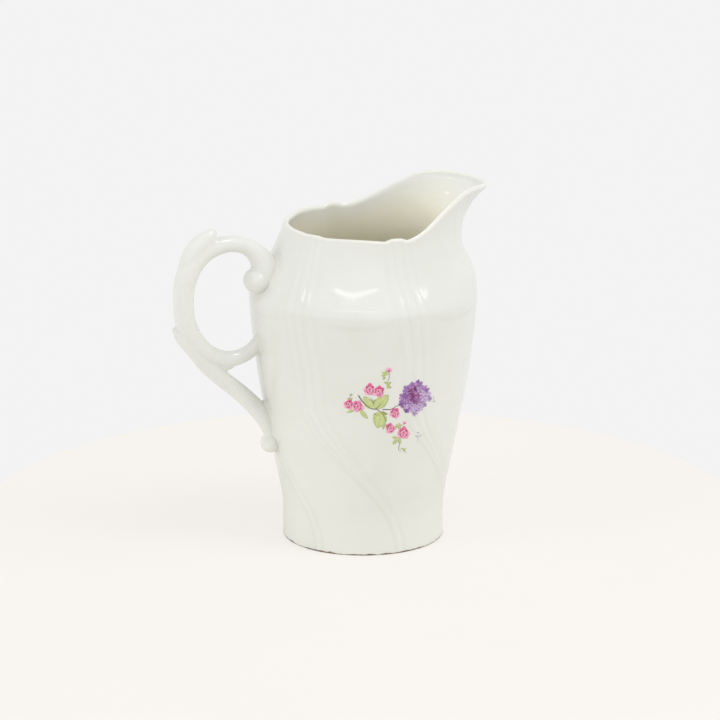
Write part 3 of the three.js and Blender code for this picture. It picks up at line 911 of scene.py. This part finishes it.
# Sprigs with the turns of their leaves in degrees, and the leaves' reach, width and darkness.
SPRIGS = (
    ((-13.2, 2.7), (-70, 60), 1.4, 0.6, 0.35),
    ((-12.9, 4.4), (-40, 50), 1.0, 0.5, 0.35),
    ((6.6, -8.9), (-100, -20, 60), 1.5, 0.8, 0.3),
    ((8.0, -8.6), (-30, 200), 1.6, 0.9, 0.2),
    ((6.1, -13.0), (-110, -150, 150), 1.7, 0.9, 0.15),
    ((5.6, -14.6), (-160, 170, 110), 1.9, 0.8, 0.2),
    ((7.9, -13.6), (175, 195), 2.4, 0.9, 0.15),
    ((9.3, -18.5), (60, 140, -60), 1.3, 0.6, 0.3),
)
# The faint sprigs at the right: petals with their turns and width, and stems with their width.
FAINT_LAYER, FAINT_REACH = 0.2, 0.9
FAINT_PETALS = (
    ((15.4, -11.7), (-0.7, 0.5), 0.45),
    ((14.8, -13.2), (-0.7, 0.5), 0.45),
    ((16.4, -13.0), (-0.7, 0.5), 0.45),
    ((22.1, 2.2), (2.2, 3.6), 0.5),
)
FAINT_STEMS = (
    (((15.5, -12.6), (15.4, -14.0), (15.2, -15.4)), 0.22),
    (((22.0, 4.2), (22.0, 3.0), (22.1, 1.8)), 0.24),
)
# Patches of roses: name, node, and the place, radius and first turn of each rose.
ROSES = (
    ("left_roses", "left_roses_enamel", (((-13.7, 0.55), 2.1, 0.3), ((-10.0, -0.25), 2.4, 1.1))),
    ("top_roses", "top_roses_enamel", (((-4.95, 6.75), 2.5, 0.8), ((-1.1, 5.95), 2.4, 0.1))),
    ("middle_rose", "middle_rose_enamel", (((5.6, -3.1), 2.2, 0.5),)),
    ("lower_left_rose", "lower_left_rose_enamel", (((3.75, -9.5), 2.2, 1.5),)),
    ("lower_right_rose", "lower_right_rose_enamel", (((9.25, -11.55), 2.6, 0.9),)),
)
# Buds: root, turns, reach and width of the petals, then root, reach and width of the heart.
BUDS = (
    ((3.0, 14.2), (-0.6, 0.0, 0.65), 2.0, 1.2, (3.0, 14.1), 1.0, 0.9),
    ((9.6, -7.6), (-0.5, 0.2, 0.8), 1.3, 0.8, (9.6, -7.6), 0.7, 0.6),
)
BUD_LAYER, BUD_HEART_LAYER, BUD_HEART_TURN = 0.3, 1.4, 0.1
BUD_STALK = ((3.0, 14.0), (3.1, 11.8), (2.6, 10.4), (1.9, 9.3))
BUD_STALK_WIDTH, BUD_STALK_LAYER = 0.3, 0.5
BUD_SPRIGS = (
    ((2.2, 13.0), (-60, -20, -100), 2.4, 0.9, 0.15),
    ((1.6, 11.6), (-110, -60), 1.4, 0.7, 0.3),
    ((2.6, 9.4), (-75, 70, 150, 190), 1.8, 0.9, 0.25),
    ((2.9, 8.3), (120, 200), 1.5, 0.8, 0.2),
)
# The blossom: its middle, how far it reaches all round from straight up, and its dark heart.
BLOSSOM_MIDDLE = (13.9, 3.6)
BLOSSOM_REACH = (
    6.2, 6.6, 6.0, 6.8, 6.6, 4.7, 5.1, 5.4, 7.0, 6.3, 6.7, 6.6, 6.2, 5.4, 5.2, 5.6,
)
BLOSSOM_HEART = (13.3, 5.0)
FLORETS, FLORET_PETALS, FLORET_LAYERS = 78, 4, 5
FLORET_RADIUS, FLORET_FULLNESS = 1.25, 1.5
GOLDEN_TURN = math.pi * (3 - math.sqrt(5))


class Print:
    """Dabs of enamel, drawn flat and then laid on the wall."""

    def __init__(self, context):
        self.wall = Wall(context)
        self.colours = context.scene.milk_jug_colours
        self.bm = bmesh.new()
        self.paint = self.bm.verts.layers.float_color.new("paint")
        size = self.wall.size
        radius = self.wall.plain_radius(size.spray_height)
        turn = size.spray_azimuth - VIEW_AZIMUTH
        self.middle = self.seen(radius, turn, size.spray_height)

    def seen(self, radius, turn, height):
        """Where a place on the wall is seen, to the right and up."""
        depth = radius * math.cos(turn)
        up = height * math.cos(VIEW_ELEVATION) - depth * math.sin(VIEW_ELEVATION)
        return radius * math.sin(turn), up

    def lay(self, spot):
        """The place on the wall of a spot of the drawing."""
        right, up = self.middle[0] + spot.x * MM, self.middle[1] + spot.y * MM
        height = self.wall.size.spray_height
        for _ in range(LAY_STEPS):
            radius = self.wall.plain_radius(height)
            turn = math.asin(right / radius)
            depth = radius * math.cos(turn)
            height = (up + depth * math.sin(VIEW_ELEVATION)) / math.cos(VIEW_ELEVATION)
        return self.wall.skin(VIEW_AZIMUTH + turn, height, spot.z)

    def dab(self, columns, rows, shape, colour):
        """One patch of enamel; shape places it across and along, and colour paints it."""
        made = bmesh.ops.create_grid(self.bm, x_segments=columns, y_segments=rows, size=1)
        for vert in made["verts"]:
            across, along = vert.co.x, (vert.co.y + 1) / 2
            vert[self.paint] = colour(across, along)
            vert.co = shape(across, along)

    def petal(self, root, turn, reach, width, base, tip, layer, fullness=1.3):
        """A round petal from its root, pointing at a turn from straight up."""
        ahead = Vector((math.sin(turn), math.cos(turn), 0))
        side = Vector((ahead.y, -ahead.x, 0))
        start = Vector((root[0], root[1], 0))
        lift = ENAMEL_LIFT * (1 + layer)

        def shape(across, along):
            half = width / 2 * math.sin(math.pi * min(0.98, 0.06 + 0.92 * along) ** fullness) ** 0.7
            spot = start + ahead * along * reach + side * across * half
            spot.z = lift + ENAMEL_LIFT * (1 - across * across) * math.sin(math.pi * along)
            return spot

        def colour(across, along):
            wash = noise.noise(Vector((root[0] + 3 * across, root[1] + 5 * along, turn)))
            return blend(base, tip, min(1, max(0, along + 0.35 * wash)))
        self.dab(*PETAL_GRID, shape, colour)

    def line(self, places, width, colour, layer):
        """A fine brush line through places, thinner at its end."""
        path = spline([(x, y, 0) for x, y in places], LINE_ROWS)

        def shape(across, along):
            step = along * (len(path) - 1)
            i = min(int(step), len(path) - 2)
            spot = path[i].lerp(path[i + 1], step - i)
            ahead = (path[i + 1] - path[i]).normalized()
            half = width / 2 * (1 - 0.55 * along)
            spot = spot + Vector((ahead.y, -ahead.x, 0)) * across * half
            spot.z = ENAMEL_LIFT * (1 + layer)
            return spot
        self.dab(1, len(path) - 1, shape, lambda across, along: colour)

    def leaf(self, root, tip, width, bow, layer=0.0, dark=0.0):
        """A leaf with an olive edge and side veins."""
        start, end = Vector((*root, 0)), Vector((*tip, 0))
        ahead = end - start
        side = Vector((ahead.y, -ahead.x, 0)).normalized()
        base, edge = paints(self.colours, "leaf", "leaf_edge")

        def shape(across, along):
            half = width / 2 * math.sin(math.pi * min(0.985, 0.02 + 0.96 * along) ** 0.8) ** 0.75
            bend = bow * math.sin(math.pi * along)
            spot = start + ahead * along + side * (across * half + bend)
            spot.z = ENAMEL_LIFT * (1 + layer) + ENAMEL_LIFT * (1 - across * across)
            return spot

        def colour(across, along):
            vein = 0.5 + 0.5 * math.cos(2 * math.pi * (5 * along - 1.6 * abs(across)))
            rim = smoothstep(abs(across), 0.55, 1.0)
            wash = 0.5 + 0.5 * noise.noise(Vector((root[0] + 2 * across, root[1] + 3 * along, 1.7)))
            rib = 0.5 * (1 - smoothstep(abs(across), 0.0, 0.2))
            end_shade = 0.25 * smoothstep(along, 0.75, 1)
            amount = 0.75 * rim * wash + 0.16 * vein + rib * 0.5 + end_shade + dark
            return blend(base, edge, min(1, amount))
        self.dab(*LEAF_GRID, shape, colour)

    def rose(self, place, radius, start, layer):
        """A small open rose: ragged outer petals, a pale cup, and dark strokes between them."""
        rose, pale, deep = paints(self.colours, "rose", "rose_pale", "rose_deep")
        x, y = place
        for i in range(OUTER_PETALS):
            turn = start + 2 * math.pi * i / OUTER_PETALS
            uneven = 1 + 0.2 * math.sin(2.3 * i + 5 * start)
            shade = 0.5 + 0.4 * math.cos(turn) + 0.35 * math.sin(1.9 * i + 3 * start)
            shade = min(1, max(0, shade))
            root = (x + 0.22 * radius * math.sin(turn), y + 0.22 * radius * math.cos(turn))
            self.petal(
                root, turn, 0.82 * radius * uneven, 0.8 * radius, blend(rose, deep, 0.6 * shade),
                blend(pale, rose, shade), layer + 0.3 * (i % 2),
            )
        for i in range(CUP_PETALS):
            turn = start + 0.5 + 2 * math.pi * i / CUP_PETALS
            root = (x + 0.08 * radius * math.sin(turn), y + 0.08 * radius * math.cos(turn))
            shade = 0.5 + 0.5 * math.sin(2.6 * i + 4 * start)
            self.petal(
                root, turn, 0.5 * radius, 0.52 * radius, blend(rose, pale, 0.5 * shade),
                blend(pale, rose, 0.45 * shade), layer + CUP_STEP + 0.3 * (i % 2),
            )
        top = layer + STROKE_STEP
        for i in range(CUP_STROKES):
            turn = start + 1.57 * i + 0.3 * math.sin(3 * i + start)
            self.stroke(place, 0.56 * radius, turn, 0.95, deep, top)
        self.stroke((x, y - 0.05 * radius), 0.25 * radius, start + 2.4, 1.5, deep, top)
        self.petal((x, y), start + 5.4, 0.34 * radius, 0.3 * radius, deep, rose, top)

    def stroke(self, place, radius, turn, wide, colour, layer):
        """A short dark brush stroke that curls round a place."""
        arc = [turn + wide * (k / 3 - 0.5) for k in range(4)]
        places = [(place[0] + radius * math.sin(a), place[1] + radius * math.cos(a)) for a in arc]
        self.line(places, STROKE_WIDTH, colour, layer)

    def sprig(self, root, turns, reach, width, dark):
        """Small leaves that fan out from one place."""
        for i, turn in enumerate(turns):
            turn = math.radians(turn)
            far = reach * (1 - 0.15 * (i % 2))
            tip = (root[0] + far * math.sin(turn), root[1] + far * math.cos(turn))
            self.leaf(root, tip, width, SPRIG_BOW, SPRIG_STEP * i, dark)

    def finish(self, name, material, nodes):
        """Gives the dabs their thickness, lays them on the wall and makes the piece."""
        bm = self.bm
        bmesh.ops.remove_doubles(bm, verts=bm.verts[:], dist=SAME_SPOT)
        bmesh.ops.recalc_face_normals(bm, faces=bm.faces[:])
        for vert in thickened(bm):
            vert.co.z = -ENAMEL_SUNK
        for vert in bm.verts:
            vert.co = self.lay(vert.co)
        bmesh.ops.recalc_face_normals(bm, faces=bm.faces[:])
        piece_from(bm, name, material, nodes)


class MILKJUG_OT_leaves(bpy.types.Operator):
    """Paint the leaves, stems and sprigs of the spray"""

    bl_idname = "milk_jug.leaves"
    bl_label = "Leaves and Stems"

    def execute(self, context):
        spray = Print(context)
        stem, faint, olive = paints(spray.colours, "stem", "faint", "leaf_edge")
        for leaf in LEAVES:
            spray.leaf(*leaf)
        for places, width, green, layer in STEMS:
            spray.line(places, width, blend(stem, olive, green), layer)
        for sprig in SPRIGS:
            spray.sprig(*sprig)
        for root, turns, width in FAINT_PETALS:
            for turn in turns:
                spray.petal(root, turn, FAINT_REACH, width, faint, faint, FAINT_LAYER)
        for places, width in FAINT_STEMS:
            spray.line(places, width, faint, FAINT_LAYER)
        material = enamel("green_enamel")
        spray.finish("leaves_and_stems", material, ["leafy_stem_enamel"])
        return {"FINISHED"}


class MILKJUG_OT_roses(bpy.types.Operator):
    """Paint the roses and the buds of the spray"""

    bl_idname = "milk_jug.roses"
    bl_label = "Roses and Buds"

    def execute(self, context):
        material = enamel("pink_enamel")
        for name, node, roses in ROSES:
            spray = Print(context)
            for i, (place, radius, start) in enumerate(roses):
                spray.rose(place, radius, start, ROSE_STEP * i)
            spray.finish(name, material, [node])
        self.bud(context, material)
        return {"FINISHED"}

    def bud(self, context, material):
        """The top bud with its stalk and sepals, and the small bud beside the lowest rose."""
        spray = Print(context)
        names = ("rose", "rose_pale", "rose_deep", "leaf_edge")
        rose, pale, deep, olive = paints(spray.colours, *names)
        for root, turns, reach, width, heart, heart_reach, heart_width in BUDS:
            for turn in turns:
                spray.petal(root, turn, reach, width, rose, pale, BUD_LAYER + abs(turn))
            spray.petal(
                heart, BUD_HEART_TURN, heart_reach, heart_width, deep, rose, BUD_HEART_LAYER
            )
        spray.line(BUD_STALK, BUD_STALK_WIDTH, olive, BUD_STALK_LAYER)
        for sprig in BUD_SPRIGS:
            spray.sprig(*sprig)
        spray.finish("rose_buds", material, ["bud_enamel"])


class MILKJUG_OT_blossom(bpy.types.Operator):
    """Paint the lilac blossom, floret by floret"""

    bl_idname = "milk_jug.blossom"
    bl_label = "Lilac Blossom"

    def execute(self, context):
        spray = Print(context)
        for i in range(FLORETS):
            turn = i * GOLDEN_TURN
            ragged = 1 + 0.07 * math.sin(9 * turn)
            reach = math.sqrt((i + 0.5) / FLORETS) * ragged * self.outline(turn)
            x = BLOSSOM_MIDDLE[0] + reach * math.sin(turn)
            y = BLOSSOM_MIDDLE[1] + reach * math.cos(turn)
            main = self.tone(spray.colours, x, y)
            self.floret(spray, (x, y), turn, FLORET_RADIUS + 0.3 * math.sin(5.1 * i), main, i)
        spray.finish("lilac_blossom", enamel("lilac_enamel"), ["blossom_enamel"])
        return {"FINISHED"}

    def outline(self, turn):
        """How far the florets reach from the middle at a turn from straight up."""
        count = len(BLOSSOM_REACH)
        step = (turn % (2 * math.pi)) / (2 * math.pi) * count
        i = int(step)
        return lerp(BLOSSOM_REACH[i % count], BLOSSOM_REACH[(i + 1) % count], step - i)

    def tone(self, colours, x, y):
        """Magenta at the heart, purple to the upper left, pale to the right and below."""
        lilac, pale, deep = paints(colours, "lilac", "lilac_pale", "lilac_deep")
        right, up = x - BLOSSOM_HEART[0], y - BLOSSOM_HEART[1]
        wash = 0.8 * noise.noise(Vector((0.55 * x, 0.55 * y, 3.1)))
        heart = math.hypot(right / 3.2, up / 3.6) + wash
        edge = smoothstep(0.6 * right - 0.55 * up + 7 * wash, -1.4, 5.2)
        return blend(deep, blend(lilac, pale, edge), smoothstep(heart, 0.4, 1.2))

    def floret(self, spray, place, turn, radius, main, count):
        """Four streaked petals, some dark and some pale."""
        pale, dusk = paints(spray.colours, "lilac_pale", "lilac_dusk")
        layer = 0.4 * (count % FLORET_LAYERS)
        for k in range(FLORET_PETALS):
            way = turn + k * 2 * math.pi / FLORET_PETALS + 0.3 * math.sin(count + k)
            shade = 0.6 * math.sin(2.7 * count) + 0.4 * math.sin(1.9 * k + count)
            base = blend(main, dusk, 0.52 - 0.45 * shade)
            tip = blend(main, pale, max(0, 0.12 + 0.7 * shade))
            reach = radius * (1.05 + 0.2 * shade)
            spray.petal(
                place, way, reach, 0.9 * radius, base, tip, layer + 0.2 * k, FLORET_FULLNESS
            )


CAMERA_DISTANCE, CAMERA_HEIGHT, CAMERA_SIDE = 1.4, 77.1 * MM, 1.3 * MM
CAMERA_LENS, CAMERA_SENSOR, CAMERA_FAR = 162.79, 36, 20
TABLE_RADIUS, TABLE_SETBACK, TABLE_LENGTH, TABLE_EDGE = 0.172, 0.024, 0.4, 0.016
TABLE_SIDES, TABLE_THICKNESS = 160, 0.008
TABLE_WHITE, TABLE_CREAM, TABLE_GLOW = (250, 247, 242), (248, 244, 239), 0.72
BACKDROP = (243, 243, 243)
ROOM_LIGHT, ROOM_STRENGTH = (1.0, 1.0, 0.993, 1), 0.68

# Lamps: name, place, aim, width, power and whether the glaze mirrors them.
SOFTBOXES = (
    ("top_softbox", (0.25, -0.42, 1.1), (0, 0, 0.1), 0.28, 1.5, True),
    ("left_softbox", (-1.42, -0.25, 0.6), (0, 0, 0.08), 1.0, 6.8, False),
    ("right_softbox", (0.95, -0.75, 0.85), (0, 0, 0.08), 1.0, 5.8, False),
)
# Window panes that only the glaze mirrors: name, place, width and height.
PANE_GLOW, PANE_AIM = 11.6, (0.015, 0, 0.11)
PANES = (
    ("window_strip", (-0.41, -0.745, 1.02), 0.9, 0.04),
    ("left_pane", (-0.89, -0.03, 0.9), 0.12, 0.07),
    ("right_pane", (0.47, -0.73, 0.94), 0.12, 0.08),
    ("far_right_pane", (0.8, -0.53, 0.84), 0.12, 0.08),
    ("upper_pane", (-0.56, -0.27, 1.13), 0.16, 0.06),
)


def view_axes():
    """Directions towards the camera and to the right of its picture."""
    flat = math.cos(VIEW_ELEVATION)
    back = Vector((
        flat * math.cos(VIEW_AZIMUTH), flat * math.sin(VIEW_AZIMUTH), math.sin(VIEW_ELEVATION)
    ))
    return back, Vector((-math.sin(VIEW_AZIMUTH), math.cos(VIEW_AZIMUTH), 0))


def table_white():
    """A pale board, bright to the camera, whose edge is lost in the backdrop."""
    made = Nodes("table_white")
    grain = made.noise(made.object_place(), scale=12.0)
    colour = made.mix(grain, srgb(*TABLE_WHITE), srgb(*TABLE_CREAM))
    made.put(made.shader.inputs["Base Color"], colour)
    made.shader.inputs["Roughness"].default_value = 0.6
    made.shader.inputs["Specular IOR Level"].default_value = 0.2
    seen = made.add("ShaderNodeLightPath").outputs["Is Camera Ray"]
    surface = made.shader.outputs["BSDF"]
    for amount, glow in ((TABLE_GLOW, colour), (made.attribute("edge", "Fac"), srgb(*BACKDROP))):
        pale = made.add("ShaderNodeEmission", {"Color": glow, "Strength": 1.0})
        both = made.add("ShaderNodeMixShader")
        made.put(both.inputs[0], made.math("MULTIPLY", seen, amount))
        made.put(both.inputs[1], surface)
        made.put(both.inputs[2], pale.outputs["Emission"])
        surface = both.outputs["Shader"]
    made.put(made.output.inputs["Surface"], surface)
    return made.material


class MILKJUG_OT_stage(bpy.types.Operator):
    """Set up the pale table with its round far end, the soft light and the camera"""

    bl_idname = "milk_jug.stage"
    bl_label = "Table, Light and Camera"

    def execute(self, context):
        scene = context.scene
        scene.view_settings.view_transform = "Standard"
        wall = Wall(context)
        self.table(scene, wall)
        self.backdrop(scene)
        for name, place, aim, width, power, mirrored in SOFTBOXES:
            self.lamp(scene, name, place, aim, width, power).visible_glossy = mirrored
        for name, place, width, height in PANES:
            power = PANE_GLOW * width * height
            pane = self.lamp(scene, name, place, PANE_AIM, width, power)
            pane.data.shape = "RECTANGLE"
            pane.data.size_y = height
            pane.visible_diffuse = False
        self.camera(scene, wall)
        return {"FINISHED"}

    def table(self, scene, wall):
        """A board with a round far end, long enough to leave the picture at the front."""
        back, _ = view_axes()
        near = Vector((back.x, back.y, 0)).normalized()
        middle = Vector((wall.axis, 0, 0)) - TABLE_SETBACK * near
        bm = bmesh.new()
        made = bmesh.ops.create_circle(
            bm, cap_ends=True, radius=TABLE_RADIUS, segments=TABLE_SIDES,
            matrix=Matrix.Translation(middle),
        )
        front = [vert for vert in made["verts"] if (vert.co - middle).dot(near) > 0]
        bmesh.ops.translate(bm, verts=front, vec=TABLE_LENGTH * near)
        edge = bm.verts.layers.float.new("edge")
        for vert in bm.verts:
            vert[edge] = 1
        top = bm.faces[:]
        bmesh.ops.inset_region(bm, faces=top, thickness=TABLE_EDGE, use_even_offset=True)
        for vert in top[0].verts:
            vert[edge] = 0
        bmesh.ops.translate(bm, verts=thickened(bm), vec=(0, 0, -TABLE_THICKNESS))
        bmesh.ops.recalc_face_normals(bm, faces=bm.faces[:])
        mesh = bpy.data.meshes.new("round_table")
        bm.to_mesh(mesh)
        bm.free()
        table = bpy.data.objects.new("round_table", mesh)
        scene.collection.objects.link(table)
        mesh.materials.append(table_white())

    def backdrop(self, scene):
        """Pale grey to the eye and in reflections, softer as light on the jug."""
        world = bpy.data.worlds.new("pale_backdrop")
        scene.world = world
        world.use_nodes = True
        tree = world.node_tree
        shade = tree.nodes["Background"]
        shade.inputs["Color"].default_value = srgb(*BACKDROP)
        light = tree.nodes.new("ShaderNodeBackground")
        light.inputs["Color"].default_value = ROOM_LIGHT
        light.inputs["Strength"].default_value = ROOM_STRENGTH
        path = tree.nodes.new("ShaderNodeLightPath")
        seen = path.outputs["Is Camera Ray"]
        for other in ("Is Glossy Ray", "Is Transmission Ray"):
            either = tree.nodes.new("ShaderNodeMath")
            either.operation = "MAXIMUM"
            tree.links.new(seen, either.inputs[0])
            tree.links.new(path.outputs[other], either.inputs[1])
            seen = either.outputs[0]
        mix = tree.nodes.new("ShaderNodeMixShader")
        tree.links.new(seen, mix.inputs[0])
        tree.links.new(light.outputs[0], mix.inputs[1])
        tree.links.new(shade.outputs[0], mix.inputs[2])
        tree.links.new(mix.outputs[0], tree.nodes["World Output"].inputs["Surface"])

    def lamp(self, scene, name, place, aim, width, power):
        data = bpy.data.lights.new(name, "AREA")
        data.shape = "SQUARE"
        data.size = width
        data.energy = power
        lamp = bpy.data.objects.new(name, data)
        lamp.location = place
        lamp.rotation_euler = (Vector(aim) - Vector(place)).to_track_quat("-Z", "Y").to_euler()
        scene.collection.objects.link(lamp)
        return lamp

    def camera(self, scene, wall):
        back, right = view_axes()
        aim = Vector((wall.axis, 0, CAMERA_HEIGHT)) - right * CAMERA_SIDE
        data = bpy.data.cameras.new("front_camera")
        data.sensor_width = CAMERA_SENSOR
        data.lens = CAMERA_LENS
        data.clip_end = CAMERA_FAR
        camera = bpy.data.objects.new("front_camera", data)
        camera.location = aim + back * CAMERA_DISTANCE
        camera.rotation_euler = back.to_track_quat("Z", "Y").to_euler()
        scene.collection.objects.link(camera)
        scene.camera = camera


STEPS = (
    MILKJUG_OT_body,
    MILKJUG_OT_handle,
    MILKJUG_OT_slip,
    MILKJUG_OT_leaves,
    MILKJUG_OT_roses,
    MILKJUG_OT_blossom,
    MILKJUG_OT_stage,
)


class MILKJUG_PT_panel(bpy.types.Panel):
    """Sizes, colours and steps of the milk jug"""

    bl_idname = "MILKJUG_PT_panel"
    bl_label = "Milk Jug"
    bl_space_type = "VIEW_3D"
    bl_region_type = "UI"
    bl_category = "Milk Jug"

    def draw(self, context):
        for step in STEPS:
            self.layout.operator(step.bl_idname)
        for group in (context.scene.milk_jug_sizes, context.scene.milk_jug_colours):
            box = self.layout.box()
            for name in group.__annotations__:
                box.prop(group, name)


CLASSES = (MilkJugSizes, MilkJugColours, *STEPS, MILKJUG_PT_panel)


def register():
    for cls in CLASSES:
        bpy.utils.register_class(cls)
    bpy.types.Scene.milk_jug_sizes = bpy.props.PointerProperty(type=MilkJugSizes)
    bpy.types.Scene.milk_jug_colours = bpy.props.PointerProperty(type=MilkJugColours)


def unregister():
    del bpy.types.Scene.milk_jug_colours
    del bpy.types.Scene.milk_jug_sizes
    for cls in reversed(CLASSES):
        bpy.utils.unregister_class(cls)


def main():
    register()
    bpy.ops.milk_jug.body()
    bpy.ops.milk_jug.handle()
    bpy.ops.milk_jug.slip()
    bpy.ops.milk_jug.leaves()
    bpy.ops.milk_jug.roses()
    bpy.ops.milk_jug.blossom()
    bpy.ops.milk_jug.stage()
    bpy.context.view_layer.update()


if __name__ == "__main__":
    main()
